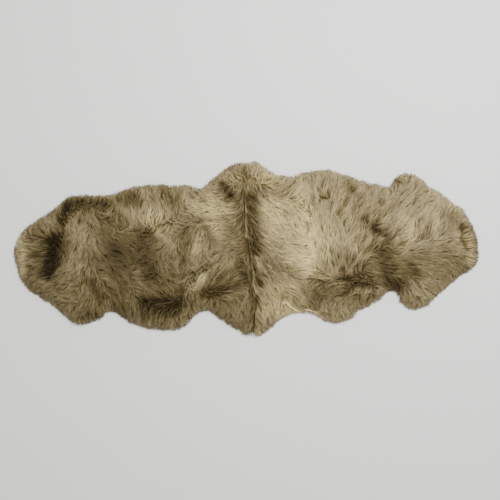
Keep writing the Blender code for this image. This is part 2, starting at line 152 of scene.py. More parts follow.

# %% [markdown]
# ## Where the wool is lighter or darker
# The tips are bleached and the roots are deep brown. Combed flat, the wool looks light. Where
# it parts, folds or stands on end the eye looks down into the roots and it looks dark. The rows
# below are those light and dark streaks as they lie on the rug, each a bent stroke. They are
# painted into the wool's colour: partly its own tone, partly painted shade in hollows, folds,
# creases and partings, and painted light where the combed nap shines.

# %% The streaks of tone, painted shade and painted light: place, start, bend and end in millimetres, half width, how much lighter
SHADES = (
    ("neck fringe", -873, 33, -861, -21, -865, -83, 27, 0.40),
    ("neck edge", -896, 48, -900, -6, -885, -75, 12, -0.30),
    ("neck top edge", -873, 64, -858, 87, -834, 106, 15, -0.12),
    ("neck parting", -746, 25, -736, -30, -752, -92, 24, -0.48),
    ("neck before the parting", -796, 60, -785, -20, -800, -100, 34, -0.06),
    ("neck dimple", -804, -25, -796, -25, -788, -29, 12, -0.25),
    ("cheek above the parting", -781, 129, -757, 102, -734, 87, 23, 0.10),
    ("cheek hollow", -688, 156, -696, 133, -703, 102, 19, -0.38),
    ("back fold", -680, 172, -610, 184, -535, 170, 25, -0.29),
    ("back rim", -673, 210, -584, 210, -495, 218, 15, 0.12),
    ("cheek", -645, 85, -605, 40, -545, 0, 40, 0.17),
    ("cheek line", -688, -52, -657, -29, -626, 2, 23, 0.10),
    ("crease curl", -565, 141, -542, 121, -511, 137, 12, 0.10),
    ("shoulder crease", -572, 133, -549, 106, -503, 133, 12, -0.12),
    ("throat", -711, -160, -673, -175, -626, -160, 31, -0.02),
    ("throat arcs", -734, -106, -690, -88, -642, -75, 22, 0.12),
    ("elbow streaks", -588, -130, -575, -155, -560, -190, 19, -0.22),
    ("elbow curl", -619, -256, -596, -245, -572, -260, 19, -0.20),
    ("flank", -534, -10, -480, -5, -445, -35, 55, -0.18),
    ("shoulder side", -542, 48, -518, 33, -503, -6, 27, -0.12),
    ("shoulder patch", -480, 156, -449, 133, -372, 102, 27, 0.18),
    ("loin light", -410, 164, -372, 141, -341, 102, 35, 0.12),
    ("back", -457, 202, -434, 187, -418, 172, 23, -0.12),
    ("loin hollow", -400, 40, -380, 5, -372, -102, 33, -0.22),
    ("loin dimple", -372, 71, -360, 56, -349, 40, 15, -0.22),
    ("loin ridge", -349, 71, -303, 33, -264, -13, 12, 0.18),
    ("whorl strand", -264, -52, -260, -75, -260, -106, 10, 0.22),
    ("whorl flecks", -272, -125, -256, -133, -241, -125, 10, 0.28),
    ("belly fold", -385, -208, -326, -218, -262, -207, 34, -0.32),
    ("belly below the fold", -387, -245, -333, -252, -272, -245, 23, -0.18),
    ("belly rim", -410, -299, -314, -310, -233, -283, 15, 0.06),
    ("flank tuft", -207, -152, -192, -140, -176, -112, 21, 0.30),
    ("back streaks", -318, 225, -295, 202, -279, 172, 15, -0.20),
    ("back curls", -264, 187, -249, 175, -233, 156, 15, -0.15),
    ("back rim, rump", -256, 241, -179, 233, -121, 256, 27, 0.10),
    ("rump dot", -168, 183, -166, 181, -164, 179, 10, -0.35),
    ("hip dot", -79, 183, -77, 181, -75, 179, 10, -0.35),
    ("rump light", -192, 165, -150, 152, -80, 142, 46, 0.34),
    ("rump crease", -164, 110, -125, 102, -79, 114, 8, -0.15),
    ("rump low", -141, 94, -110, 64, -94, 33, 19, 0.18),
    ("rump light streak", -179, 64, -183, 13, -191, -13, 13, 0.20),
    ("rump dark streak", -145, 71, -137, 40, -137, 10, 13, -0.15),
    ("rump left", -218, 110, -233, 64, -218, 10, 23, -0.12),
    ("hip hollow", -89, 240, -78, 222, -62, 206, 17, -0.40),
    ("hip curls", -87, 295, -64, 279, -40, 264, 19, 0.10),
    ("hip crown", -10, 330, 21, 333, 60, 310, 31, 0.14),
    ("haunch crest", -156, -106, -102, -75, -50, -45, 13, 0.11),
    ("haunch hollow", -160, -170, -133, -185, -102, -168, 18, -0.24),
    ("haunch hollow, right", -102, -152, -64, -145, -25, -129, 19, -0.14),
    ("seam line", -20, 190, -12, 71, -8, 4, 5, -0.30),
    ("seam strand", -9, 190, -4, 71, 2, 10, 5, 0.14),
    ("seam band", 20, 190, 30, 60, 32, -10, 27, -0.35),
    ("seam hollow", 30, -60, 36, -90, 54, -133, 13, -0.26),
    ("seam foot line", 2, -114, 24, -165, 26, -280, 9, -0.28),
    ("field", 75, 141, 148, 64, 206, -52, 69, 0.18),
    ("field crown", 218, 175, 232, 60, 229, -75, 32, 0.24),
    ("haunch tuft", 41, -42, 50, -62, 58, -86, 8, 0.30),
    ("back dimple", 249, 199, 252, 183, 252, 168, 9, -0.35),
    ("back dimple, right", 276, 187, 291, 179, 310, 187, 11, -0.02),
    ("back under the rim", 206, 236, 283, 214, 350, 200, 29, 0.04),
    ("back fold, right", 380, 241, 395, 229, 410, 218, 15, -0.28),
    ("loin streak", 384, 191, 376, 175, 368, 164, 7, -0.28),
    ("hip streak", 145, 222, 160, 237, 183, 252, 7, -0.22),
    ("under the tuft", 83, -52, 110, -75, 148, -83, 23, -0.14),
    ("light tufts", 98, -145, 145, -145, 183, -137, 19, 0.16),
    ("thin wool", 67, -222, 114, -229, 152, -229, 31, 0.22),
    ("rim strand", 145, -206, 183, -241, 268, -249, 8, 0.40),
    ("haunch low", 91, -183, 148, -183, 206, -183, 31, 0.10),
    ("belly crease", 206, -114, 276, -121, 322, -152, 12, -0.10),
    ("belly", 260, -172, 330, -165, 385, -156, 37, -0.28),
    ("belly crease, right", 360, -118, 407, -102, 461, -121, 13, -0.12),
    ("belly lines", 422, -133, 453, -137, 484, -152, 10, -0.14),
    ("belly curl tips", 399, -160, 430, -168, 466, -160, 11, 0.24),
    ("haunch parting", 445, 108, 478, 93, 505, 66, 20, -0.27),
    ("parting core", 484, 71, 510, 52, 545, 32, 15, -0.28),
    ("parting fleck", 495, 52, 507, 44, 513, 35, 6, 0.34),
    ("crease under the parting", 488, 33, 468, 10, 449, -13, 7, -0.16),
    ("elbow band", 505, 0, 530, -65, 561, -137, 41, -0.25),
    ("elbow core", 515, -75, 530, -94, 538, -114, 15, -0.14),
    ("elbow low", 538, -129, 569, -145, 599, -137, 19, -0.17),
    ("foreleg edge", 576, -160, 580, -191, 599, -214, 12, -0.14),
    ("neck dimple, right", 622, -64, 634, -75, 642, -87, 15, -0.25),
    ("neck flow", 572, -29, 669, -13, 746, -13, 12, 0.06),
    ("withers", 707, 129, 715, 79, 723, 33, 23, 0.12),
    ("withers band", 684, 91, 692, 56, 707, 21, 12, -0.12),
    ("withers left", 607, 102, 630, 71, 606, 25, 31, 0.18),
    ("shoulder rim", 707, 225, 754, 187, 784, 164, 23, 0.10),
    ("upper leg stripes", 561, 279, 569, 264, 580, 252, 10, -0.35),
    ("neck curls", 754, 133, 784, 106, 815, 87, 23, -0.16),
    ("neck end, right", 828, 45, 846, -6, 854, -52, 19, 0.31),
    ("neck end patch", 861, 79, 888, 56, 882, 15, 17, -0.20),
    ("neck low, right", 777, -29, 804, -44, 825, -55, 19, -0.04),
    ("haunch", -133, -100, -70, -115, -15, -120, 50, -0.09),
    ("rump", -330, 110, -230, 60, -170, -20, 60, 0.16),
    ("loin", 150, 170, 270, 90, 330, -20, 95, 0.20),
    ("loin, right edge", 430, 200, 460, 100, 455, 0, 35, -0.01),
    ("neck, right", 560, -30, 680, -70, 840, -60, 70, -0.15),
    ("belly top", 360, -20, 430, -65, 495, -120, 30, -0.15),
    ("flank lower", -510, -30, -470, -150, -480, -240, 45, -0.15),
    ("belly upper", -420, -120, -330, -145, -250, -135, 38, -0.10),
    ("seam second line", 10, 130, 12, 66, 16, 0, 5, -0.22),
    ("seam knot", -20, -90, -12, -100, -4, -96, 8, -0.22),
    ("seam foot strand", 8, -114, 30, -140, 40, -164, 6, 0.16),
    ("seam dark foot", 42, -120, 50, -128, 58, -140, 10, -0.18),
    ("hip stripes dark", -30, 235, -18, 215, -8, 200, 14, -0.10),
    ("neck parting, right", -712, 40, -702, -5, -712, -60, 26, -0.28),
    ("neck parting, low", -742, -60, -748, -90, -750, -110, 22, -0.18),
    ("cheek shade", -655, 135, -645, 120, -640, 105, 20, -0.04),
    ("shoulder shade", -500, 150, -478, 125, -468, 115, 20, -0.16),
    ("loin strand shade", -238, 60, -236, -30, -262, -108, 22, -0.17),
    ("rump smooth light", -145, 200, -135, 130, -110, 75, 28, 0.18),
    ("back above the loin", -390, 222, -370, 215, -350, 215, 20, 0.10),
    ("haunch flap", -110, -220, -70, -222, 0, -235, 34, -0.03),
    ("seam foot right", 42, -185, 48, -205, 48, -220, 16, -0.12),
    ("hip right, under", 45, 215, 100, 215, 160, 205, 28, -0.12),
    ("belly, wide", 330, -45, 390, -95, 450, -175, 50, -0.19),
    ("seam band top", 18, 186, 24, 165, 28, 120, 26, -0.14),
    ("back fold, left", -700, 140, -694, 120, -690, 100, 14, -0.01),
    ("back, left shade", -480, 190, -450, 175, -420, 185, 26, -0.18),
    ("belly curl shade", -420, -95, -415, -120, -400, -150, 26, 0.10),
    ("field strip", 10, 250, 60, 245, 100, 235, 22, -0.05),
    ("hip top", -100, 248, 0, 257, 95, 252, 29, 0.14),
    ("seam, left shade", -48, 180, -46, 140, -20, 85, 16, -0.14),
    ("belly rim, right", 130, -242, 200, -262, 282, -262, 22, 0.14),
    ("seam foot, left", -32, -50, -15, -85, -4, -105, 18, -0.15),
    ("neck root low", 585, -95, 605, -110, 645, -112, 22, -0.13),
    ("neck crack", 818, 94, 807, 40, 836, -8, 4, -0.55),
    ("neck before the crack", 800, 60, 792, 20, 800, -20, 14, 0.10),
)
# The left pelt's base is darker partly in its own tone and partly as painted shade, a falloff of the light
# towards the left end.
LEFT_TINT_AND_SHADE, RIGHT_TINT = 0.37, 0.50
STROKE_STOPS = 9
DARKEST = 0.03


def bent(ax, ay, bx, by, cx, cy, count):
    """Points of a stroke from a to c that leans towards b: (1 - t)^2 a + 2 t (1 - t) b + t^2 c."""
    t = np.linspace(0, 1, count)
    x = ((1 - t) ** 2 * ax + 2 * t * (1 - t) * bx + t * t * cx) * MM
    y = ((1 - t) ** 2 * ay + 2 * t * (1 - t) * by + t * t * cy) * MM
    return x, y


def shade_map():
    """Base tint of each pelt plus each streak's strength x exp(-(distance to its stroke / half width)^2);
    the streaks and the left pelt's darker base hold painted shade and painted light as well as tone.
    The sum t is then kept above 0 as (t + the root of (t^2 + a little)) / 2."""
    tint_and_shade = np.where(side < 0, LEFT_TINT_AND_SHADE, RIGHT_TINT)
    for _, ax, ay, bx, by, cx, cy, half, strength in SHADES:
        nearest = np.full(map_x.shape, 9.0)
        for x, y in zip(*bent(ax, ay, bx, by, cx, cy, STROKE_STOPS)):
            nearest = np.minimum(nearest, np.hypot(map_x - x, map_y - y))
        tint_and_shade = tint_and_shade + strength * np.exp(-((nearest / (half * MM)) ** 2))
    return (tint_and_shade + np.sqrt(tint_and_shade**2 + DARKEST)) / 2


tint_and_shade_map = shade_map()
print("streaks:", len(SHADES), "tint from", round(tint_and_shade_map.min(), 2), "to", round(tint_and_shade_map.max(), 2))

# %% [markdown]
# ## Which way the wool lies
# Sheep's wool has a nap. On these pelts it streams away from the backbone, radiates round
# whorls, and turns over the rim all round, and where two streams part the dark roots show.
# Each row below is one place on the rug where the direction of the tips was read, in
# millimetres and in degrees against the clock from the right. Between the rows the nap is
# blended, so it turns as smoothly as combed wool.

# %% The nap, row by row: place, x, y, direction of the tips, reach
NAP = (
    ("neck end", -858, -13, 180, 54),
    ("neck upper corner", -827, 79, 130, 46),
    ("neck lower corner", -842, -121, 212, 50),
    ("neck before the parting", -781, -13, 182, 39),
    ("parting top", -734, 79, 115, 35),
    ("cheek top", -696, 156, 100, 39),
    ("behind the parting", -696, -6, 285, 31),
    ("cheek", -626, 94, 268, 54),
    ("cheek middle", -634, 20, 262, 40),
    ("throat swirl", -673, -52, 238, 35),
    ("throat arcs", -727, -91, 205, 39),
    ("throat", -734, -152, 200, 46),
    ("throat low", -680, -191, 192, 42),
    ("foreleg", -657, -252, 248, 46),
    ("elbow streaks", -588, -152, 268, 35),
    ("elbow low", -572, -222, 262, 39),
    ("back above the fold", -603, 206, 92, 39),
    ("back below the fold", -596, 140, 270, 31),
    ("shoulder crease", -526, 133, 48, 27),
    ("shoulder patch", -464, 129, 112, 42),
    ("shoulder side", -549, 64, 292, 42),
    ("flank", -480, -13, 340, 62),
    ("flank low", -480, -102, 325, 54),
    ("flank rim", -472, -199, 285, 54),
    ("loin light", -372, 133, 80, 50),
    ("loin top", -372, 206, 95, 39),
    ("back streaks", -303, 202, 112, 35),
    ("back curls", -252, 175, 60, 23),
    ("loin ridge", -326, 48, 230, 35),
    ("loin hollow", -380, -6, 200, 50),
    ("loin hollow low", -410, -91, 185, 46),
    ("whorl left", -303, -75, 318, 35),
    ("whorl right", -210, -83, 228, 31),
    ("whorl top", -256, -29, 268, 31),
    ("rump light", -148, 141, 176, 54),
    ("rump streaks", -156, 40, 262, 39),
    ("rump smooth", -64, 33, 180, 46),
    ("seam strip", -25, 79, 268, 23),
    ("haunch crest", -94, -83, 48, 35),
    ("haunch crest low", -164, -133, 62, 27),
    ("haunch hollow", -64, -160, 20, 35),
    ("haunch flap", -33, -245, 268, 50),
    ("haunch flap left", -118, -229, 262, 35),
    ("belly above the fold", -318, -160, 140, 42),
    ("belly above, left", -395, -145, 150, 35),
    ("belly below the fold", -318, -260, 258, 46),
    ("flank notch", -195, -199, 268, 27),
    ("hip curls", -71, 295, 132, 31),
    ("hip hollow", -79, 214, 205, 27),
    ("hip crown", -17, 310, 100, 35),
    ("hip stripes", -2, 231, 270, 27),
    ("hip, right", 60, 295, 68, 33),
    ("hip low, right", 64, 214, 315, 27),
    ("back streak", 160, 237, 38, 35),
    ("back rim, right", 283, 272, 90, 46),
    ("field by the seam", 91, 118, 318, 42),
    ("field left", 114, 33, 332, 42),
    ("field", 175, 91, 308, 46),
    ("field low", 175, -13, 345, 39),
    ("field foot", 206, -75, 352, 31),
    ("loin", 335, 91, 92, 54),
    ("loin low", 335, -25, 96, 46),
    ("loin upper", 285, 175, 98, 35),
    ("loin strands", 399, 141, 66, 50),
    ("loin strands upper", 385, 206, 60, 34),
    ("loin strands low", 407, 33, 76, 42),
    ("haunch tuft", 48, -60, 282, 19),
    ("under the tuft", 83, -121, 300, 35),
    ("light tufts", 148, -133, 332, 31),
    ("thin wool", 114, -218, 282, 39),
    ("rim strand", 206, -222, 335, 27),
    ("belly curls", 291, -141, 215, 31),
    ("belly curls middle", 368, -152, 188, 31),
    ("belly curls right", 422, -168, 240, 31),
    ("belly lobe", 337, -252, 282, 39),
    ("above the crease", 385, -75, 78, 27),
    ("parting left", 440, 80, 72, 27),
    ("parting right", 530, 64, 40, 31),
    ("shoulder strands", 507, 187, 58, 46),
    ("shoulder top", 484, 241, 65, 35),
    ("upper leg", 622, 272, 82, 42),
    ("upper leg, right", 700, 241, 48, 42),
    ("shoulder smooth", 669, 168, 35, 54),
    ("withers", 669, 79, 82, 46),
    ("withers left", 592, 91, 50, 39),
    ("neck root", 592, -37, 12, 46),
    ("neck flow", 688, -25, 358, 50),
    ("neck flow low", 688, -91, 345, 46),
    ("elbow band", 515, -64, 350, 35),
    ("elbow band low", 545, -121, 330, 31),
    ("foreleg, right", 638, -160, 308, 46),
    ("foreleg tip, right", 649, -214, 285, 35),
    ("throat, right", 765, -114, 318, 46),
    ("neck curls", 769, 141, 72, 35),
    ("neck curls low", 792, 91, 60, 27),
    ("before the crack", 792, 21, 5, 27),
    ("neck end, right", 861, 13, 2, 35),
    ("neck end top, right", 846, 102, 28, 31),
    ("neck end low, right", 854, -52, 345, 31),
    ("neck low, right", 804, -52, 335, 31),
    ("back fold left", -655, 180, 92, 26),
    ("back fold right", -570, 182, 90, 26),
    ("belly between", -318, -210, 185, 22),
    ("cheek swirl", -655, -30, 245, 26),
    ("back under, right", 300, 225, 84, 22),
    ("loin left", 285, 30, 110, 40),
    ("above the crease, left", 310, -75, 115, 25),
)
RIM_TURN = 48 * MM
RIM_PULL = 1.7
MOST_UPRIGHT = 0.3
NAP_BLEND = 9 * MM
AGREEMENT = 0.7
TAILWARD = 0.6
MEETING_SWIRL = 0.5
SEAM_STRIP = 20 * MM
SEAM_STRIP_TOP = 262 * MM


def waves(x, y, length, seed, count=14):
    """A smooth random map: flat waves of about that length, each with its own direction and start."""
    draw = np.random.default_rng(seed)
    turn = draw.uniform(0, 2 * np.pi, count)
    number = 2 * np.pi / (length * draw.uniform(0.7, 1.5, count))
    start = draw.uniform(0, 2 * np.pi, count)
    total = sum(
        np.sin(k * (x * math.cos(a) + y * math.sin(a)) + s) for a, k, s in zip(turn, number, start)
    )
    return total * math.sqrt(2 / count)


seam_hug = np.exp(-((side / SEAM_STRIP) ** 2)) / (1 + np.exp((map_y - SEAM_STRIP_TOP) / (12 * MM)))


def nap_map():
    """Direction of the tips: each row weighs 1 / (1 + (distance / reach)^2)^3, and the rim pulls outwards.
    Where streams meet head on, their blend is shorter than AGREEMENT, and the wool turns tailward."""
    east, north, total = (np.zeros_like(map_x) for _ in range(3))
    for _, x, y, degrees, reach in NAP:
        far = np.hypot(map_x - x * MM, map_y - y * MM) / (reach * MM)
        weight = 1 / (1 + far**2) ** 3
        east += weight * math.cos(math.radians(degrees))
        north += weight * math.sin(math.radians(degrees))
        total += weight
    east, north = blurred(east / total, NAP_BLEND), blurred(north / total, NAP_BLEND)
    meeting = np.clip(1 - np.hypot(east, north) / AGREEMENT, 0, 1)
    east -= TAILWARD * meeting * np.tanh(side / (60 * MM))
    size = np.hypot(east, north) + 1e-9
    sunk = np.clip(tint_and_shade_map / np.where(side < 0, LEFT_TINT_AND_SHADE, RIGHT_TINT), 0, 1)
    near_rim = np.clip(1 - depth / RIM_TURN, 0, 1)
    flatness = np.clip(size / 0.6 * sunk**0.6 + near_rim, MOST_UPRIGHT, 1)
    pull = RIM_PULL * near_rim**1.5
    east, north = east / size + pull * out_x, north / size + pull * out_y
    along_seam = np.gradient(seam_x, STEP)[:, None]
    turning = 2.4 * seam_hug * (1 - seam_hug) * np.tanh(side / (8 * MM))
    east = east * (1 - seam_hug) - seam_hug * along_seam + turning
    north = north * (1 - seam_hug) - seam_hug
    turn = 0.17 * waves(map_x, map_y, 60 * MM, 3) + 0.16 * waves(map_x, map_y, 32 * MM, 4)
    turn += MEETING_SWIRL * meeting * waves(map_x, map_y, 24 * MM, 5)
    angle = np.arctan2(north, east) + turn * (1 - 0.85 * seam_hug)
    return flatness * np.cos(angle), flatness * np.sin(angle)


nap_x, nap_y = nap_map()
PARTING_WIDTH = 25 * MM
PARTING_START = 0.55
spreading = np.gradient(nap_x, STEP, axis=1) + np.gradient(nap_y, STEP, axis=0)
parting = np.clip(blurred(spreading, 6 * MM) * PARTING_WIDTH - PARTING_START, 0, 1) * (1 - seam_hug)
print("nap rows:", len(NAP), "share of partings:", round(parting[covered].mean(), 3))


# %% Locks that run on along the nap
def combed(seed, width, length):
    """Noise blurred to the width and then averaged over the length, up and down the nap."""
    noise = blurred(np.random.default_rng(seed).normal(0, 1, map_x.shape), width)
    total = noise.copy()
    for way in (-1, 1):
        x, y = map_x.copy(), map_y.copy()
        for _ in range(round(length / 2 / STEP)):
            east, north = read(nap_x, x, y), read(nap_y, x, y)
            size = np.hypot(east, north) + 1e-6
            x, y = x + way * STEP * east / size, y + way * STEP * north / size
            total += read(noise, x, y)
    return total / total[covered].std()


fine_locks = combed(31, 1.5 * MM, 42 * MM)
broad_locks = combed(32, 6 * MM, 70 * MM)

# %% [markdown]
# ## Calm places and creases
# On some stretches the wool lies as smooth as plush, on others it falls into curls. The calm
# rows damp the swing and the contrast of the locks there. In a few creases it has parted to
# its roots: there no lock may cross, so a thin dark line stays open between two rows of locks.

# %% Calm: place, x, y and radius in millimetres, how calm
CALM = (
    ("cheek", -640, 60, 90, 0.6),
    ("flank", -480, -20, 130, 0.8),
    ("flank low", -480, -190, 90, 0.5),
    ("loin", -330, 40, 100, 0.6),
    ("rump", -120, 50, 110, 0.8),
    ("haunch flap", -60, -230, 90, 0.8),
    ("thin wool", 110, -220, 60, 0.6),
    ("elbow band", 525, -70, 60, 0.6),
    ("shoulder, right", 650, 160, 110, 0.9),
    ("withers", 690, 70, 100, 0.8),
    ("neck flow", 700, -60, 110, 0.5),
    ("throat", -680, -150, 70, 0.4),
)
calm = np.zeros_like(map_x)
for _, x, y, radius, much in CALM:
    away = np.hypot(map_x - x * MM, map_y - y * MM) / (radius * MM)
    calm = np.maximum(calm, much * np.exp(-(away**4)))
calm = blurred(calm, 15 * MM)
print("share of calm wool:", round(calm[covered].mean(), 2))

# %% Creases: start, bend and end in millimetres, half the gap
CREASES = (
    ("neck crack", 820, 94, 806, 40, 838, -10, 1.0),
    ("back dimple", 256, 204, 262, 190, 254, 172, 2.4),
    ("back dimple, right", 270, 190, 290, 184, 322, 192, 1.8),
    ("hip streak", 147, 221, 168, 238, 192, 257, 1.6),
    ("belly crease, left", 229, -114, 270, -108, 300, -126, 1.1),
    ("belly crease", 350, -112, 402, -122, 440, -96, 2.2),
    ("belly crease, low", 406, -127, 450, -128, 499, -142, 2.2),
    ("belly curl", 407, -150, 402, -172, 428, -174, 1.8),
    ("rump dot", -176, 184, -167, 180, -158, 185, 2.6),
    ("hip dot", -86, 184, -78, 179, -68, 185, 2.6),
    ("whorl flecks", -206, -84, -198, -92, -186, -98, 2.2),
    ("shoulder curl", -572, 142, -562, 84, -502, 140, 1.6),
    ("haunch strand", -150, -160, -130, -168, -96, -150, 1.8),
    ("haunch strand, low", -160, -184, -135, -184, -104, -172, 1.8),
    ("skin edge", 148, -206, 178, -235, 210, -244, 2.9),
    ("skin edge, right", 220, -234, 248, -233, 270, -250, 2.7),
)
CREASE_STOPS = 15
CREASE_REACH = 50 * MM


def part_at_creases(x, y, flat):
    """Moves strand points (strand, stop, xy) off each crease, by half its gap, to their root's side."""
    for _, *numbers, half in CREASES:
        line_x, line_y = bent(*numbers, CREASE_STOPS)
        ahead_x, ahead_y = np.gradient(line_x), np.gradient(line_y)
        size = np.hypot(ahead_x, ahead_y)
        close = CREASE_REACH + size.sum() / 2
        near = np.flatnonzero(np.hypot(x - line_x.mean(), y - line_y.mean()) < close)
        points = np.concatenate([np.stack([x[near], y[near]], 1)[:, None], flat[near]], axis=1)
        off_x, off_y = points[:, :, :1] - line_x, points[:, :, 1:] - line_y
        at = np.hypot(off_x, off_y).argmin(axis=2)[:, :, None]
        off_x, off_y = (np.take_along_axis(off, at, 2)[:, :, 0] for off in (off_x, off_y))
        at = at[:, :, 0]
        along_x, along_y = ahead_x[at] / size[at], ahead_y[at] / size[at]
        across = along_x * off_y - along_y * off_x
        beside = np.abs(along_x * off_x + along_y * off_y) < size[at]
        way = np.where(across[:, :1] < 0, -1, 1)
        gap = half * MM * (1 - np.abs(2 * at / (CREASE_STOPS - 1) - 1) ** 4)
        push = np.where(beside, np.maximum(gap - way * across, 0) * way, 0)[:, 1:]
        flat[near, :, 0] -= push * along_y[:, 1:]
        flat[near, :, 1] += push * along_x[:, 1:]


# %% [markdown]
# ## Small helpers
# The first puts whole arrays into a mesh at once, with the numbers that its material reads. The
# others build materials: a node with its settings and links, the shader, clouds and ramps.

# %% Mesh and material helpers
def mesh_piece(name, points, faces, material, values=None, uv=None, smooth=True):
    """Makes a mesh object from points and triangles or quads.
    Values are numbers per point for the material, and uv is one pair per point."""
    mesh = bpy.data.meshes.new(name)
    sides = faces.shape[1]
    mesh.vertices.add(len(points))
    mesh.vertices.foreach_set("co", points.astype(np.float32).ravel())
    mesh.loops.add(faces.size)
    mesh.loops.foreach_set("vertex_index", faces.astype(np.int32).ravel())
    mesh.polygons.add(len(faces))
    mesh.polygons.foreach_set("loop_start", np.arange(0, faces.size, sides, dtype=np.int32))
    mesh.polygons.foreach_set("use_smooth", np.full(len(faces), smooth))
    for key, numbers in (values or {}).items():
        layer = mesh.attributes.new(key, "FLOAT", "POINT")
        layer.data.foreach_set("value", numbers.astype(np.float32).ravel())
    if uv is not None:
        layer = mesh.uv_layers.new(name="OFBake")
        layer.data.foreach_set("uv", uv[faces.ravel()].astype(np.float32).ravel())
    mesh.update(calc_edges=True)
    mesh.materials.append(material)
    piece = bpy.data.objects.new(name, mesh)
    bpy.context.scene.collection.objects.link(piece)
    print(name, "triangles:", len(faces) * (sides - 2))
    return piece


def linear(code):
    """An sRGB hex colour as the linear red, green, blue and 1 that the nodes take."""
    parts = [int(code[i : i + 2], 16) / 255 for i in (1, 3, 5)]
    return [p / 12.92 if p <= 0.04045 else ((p + 0.055) / 1.055) ** 2.4 for p in parts] + [1]


def node(tree, kind, settings=None, links=None):
    """Adds a node: settings are attributes or inputs by name, links are output sockets by input name."""
    made = tree.nodes.new("ShaderNode" + kind)
    for key, value in (settings or {}).items():
        if hasattr(made, key):
            setattr(made, key, value)
        else:
            made.inputs[key].default_value = value
    for key, socket in (links or {}).items():
        tree.links.new(socket, made.inputs[key])
    return made


def new_material(name):
    """An empty material and its node tree."""
    material = bpy.data.materials.new(name)
    material.use_nodes = True
    material.node_tree.nodes.clear()
    return material, material.node_tree


def add_shader(tree, settings, links=None):
    """Gives the material a principled shader with these settings and links."""
    shader = node(tree, "BsdfPrincipled", settings, links)
    node(tree, "OutputMaterial", links={"Surface": shader.outputs[0]})


def carried(tree, name):
    """A number that the mesh carries at its points."""
    return node(tree, "Attribute", {"attribute_name": name}).outputs["Fac"]


def clouds(tree, size, detail):
    """Noise in the piece's own space, with clouds of about that size."""
    place = node(tree, "TexCoord").outputs["Object"]
    made = node(tree, "TexNoise", {"Scale": 1 / size / 2, "Detail": detail}, {"Vector": place})
    return made.outputs["Fac"]


def multiplied(tree, one, other):
    """Two colours multiplied."""
    made = node(tree, "Mix", {"data_type": "RGBA", "blend_type": "MULTIPLY"})
    made.inputs[0].default_value = 1
    tree.links.new(one, made.inputs[6])
    tree.links.new(other, made.inputs[7])
    return made.outputs[2]


def ramp(tree, source, stops):
    """A colour ramp from (place, hex) stops, driven by a socket."""
    made = node(tree, "ValToRGB", links={"Fac": source})
    band = made.color_ramp
    while len(band.elements) < len(stops):
        band.elements.new(0.5)
    for element, (place, code) in zip(band.elements, stops):
        element.position = place
        element.color = linear(code)
    return made.outputs["Color"]


# %% [markdown]
# ## The wool's material
# Dyed and combed sheep's wool: each lock is darker at its root and bleached at its tip, and the
# fibre's scales scatter light softly, so it has hardly any gloss but a faint sheen. The darkening
# towards the root is partly the root's own colour and partly painted shade deep in the pile. Two
# numbers carried by each hair drive the colour: how far along the hair the point is, and how light
# the lock is, a tint that holds painted shade and painted light as well as tone.

# %% Dyed combed sheep's wool
# ROOT_TO_TIP darkens each hair towards its root: the root's own colour and painted shade deep in the pile.
ROOT_TO_TIP = ((0.0, "#a9a18d"), (0.4, "#dad5c7"), (0.75, "#f8f6f2"), (1.0, "#ffffff"))
WOOL_TONES = ((0.0, "#292012"), (0.25, "#706342"), (0.5, "#a09372"), (0.75, "#d3c391"), (1.0, "#f8e6b2"))


def wool_material(name):
    """Wool whose tone follows the lock's tint with its painted shade, and darkens towards the root in root
    colour and painted shade.
    """
    material, tree = new_material(name)
    tone_and_shade = ramp(tree, carried(tree, "tint_and_shade"), WOOL_TONES)
    shade = ramp(tree, carried(tree, "along"), ROOT_TO_TIP)
    add_shader(
        tree,
        {"Roughness": 0.75, "Specular IOR Level": 0.12, "Sheen Weight": 0.08, "Sheen Roughness": 0.5,
         "Sheen Tint": linear("#c8ab73"), "Diffuse Roughness": 0.6, "IOR": 1.55},
        {"Base Color": multiplied(tree, tone_and_shade, shade)},
    )
    return material


dyed_wool = wool_material("dyed_combed_wool")

# %% [markdown]
# ## The wool
# Wool hangs in locks: many hairs leave the skin apart and run together at their tips. Each lock
# here is three tapering strands that follow the nap, crimped a little, and the locks lie on
# each other like tiles. Hair curves would be lighter to make, but a mesh can be kept, measured
# and exported, so every strand is a closed three-sided tube of sixteen triangles.

# %% How a lock is built
LOCK_SPACING = 7.2 * MM
STRANDS_IN_LOCK = 3
STRAND_LENGTH = 45 * MM
SHORTEST = 8 * MM
LOCK_LENGTHS, STRAND_LENGTHS = 0.13, 0.07
LOCK_SPREAD = 2.4 * MM
LOCK_SWING, STRAND_SWING, RIM_SWING = 0.34, 0.06, 0.24
LOCK_STRAY = 0.6
LOCK_TINTS, STRAND_TINTS = 0.045, 0.025
TIP_GATHER = 0.6
STOPS = np.array((0.0, 0.32, 0.66, 1.0))
RISE = np.array((-8.0, -1.6, 0.0, 0.4)) * MM
THICKNESS = np.array((1.1, 1.35, 1.1)) * MM
RINGS = len(THICKNESS)
POINTS = 3 * RINGS + 1
FLOOR_CLEARANCE = 1.0 * MM
SEAM_GROOVE = 3.5 * MM
SEAM_CLEAR = 2.5 * MM
LUMP = 1.3 * MM
LOCK_RIDGE = 0.85 * MM
PARTING_LIGHT = 0.45
PARTING_FALL = 0.4
UV_LOW, UV_SPAN, UV_SLIP = 0.03, 0.93, 0.003


def hex_points(spacing):
    """Points of a honeycomb over the maps, each pushed a little off its place."""
    rows = np.arange(grid_y[0], grid_y[-1], spacing * math.sqrt(3) / 2)
    columns = np.arange(grid_x[0], grid_x[-1], spacing)
    x, y = np.meshgrid(columns, rows)
    x = x + spacing / 2 * (np.arange(len(rows)) % 2)[:, None]
    shape = x.shape
    x = x + rng.uniform(-0.42, 0.42, shape) * spacing
    y = y + rng.uniform(-0.42, 0.42, shape) * spacing
    return x.ravel(), y.ravel()


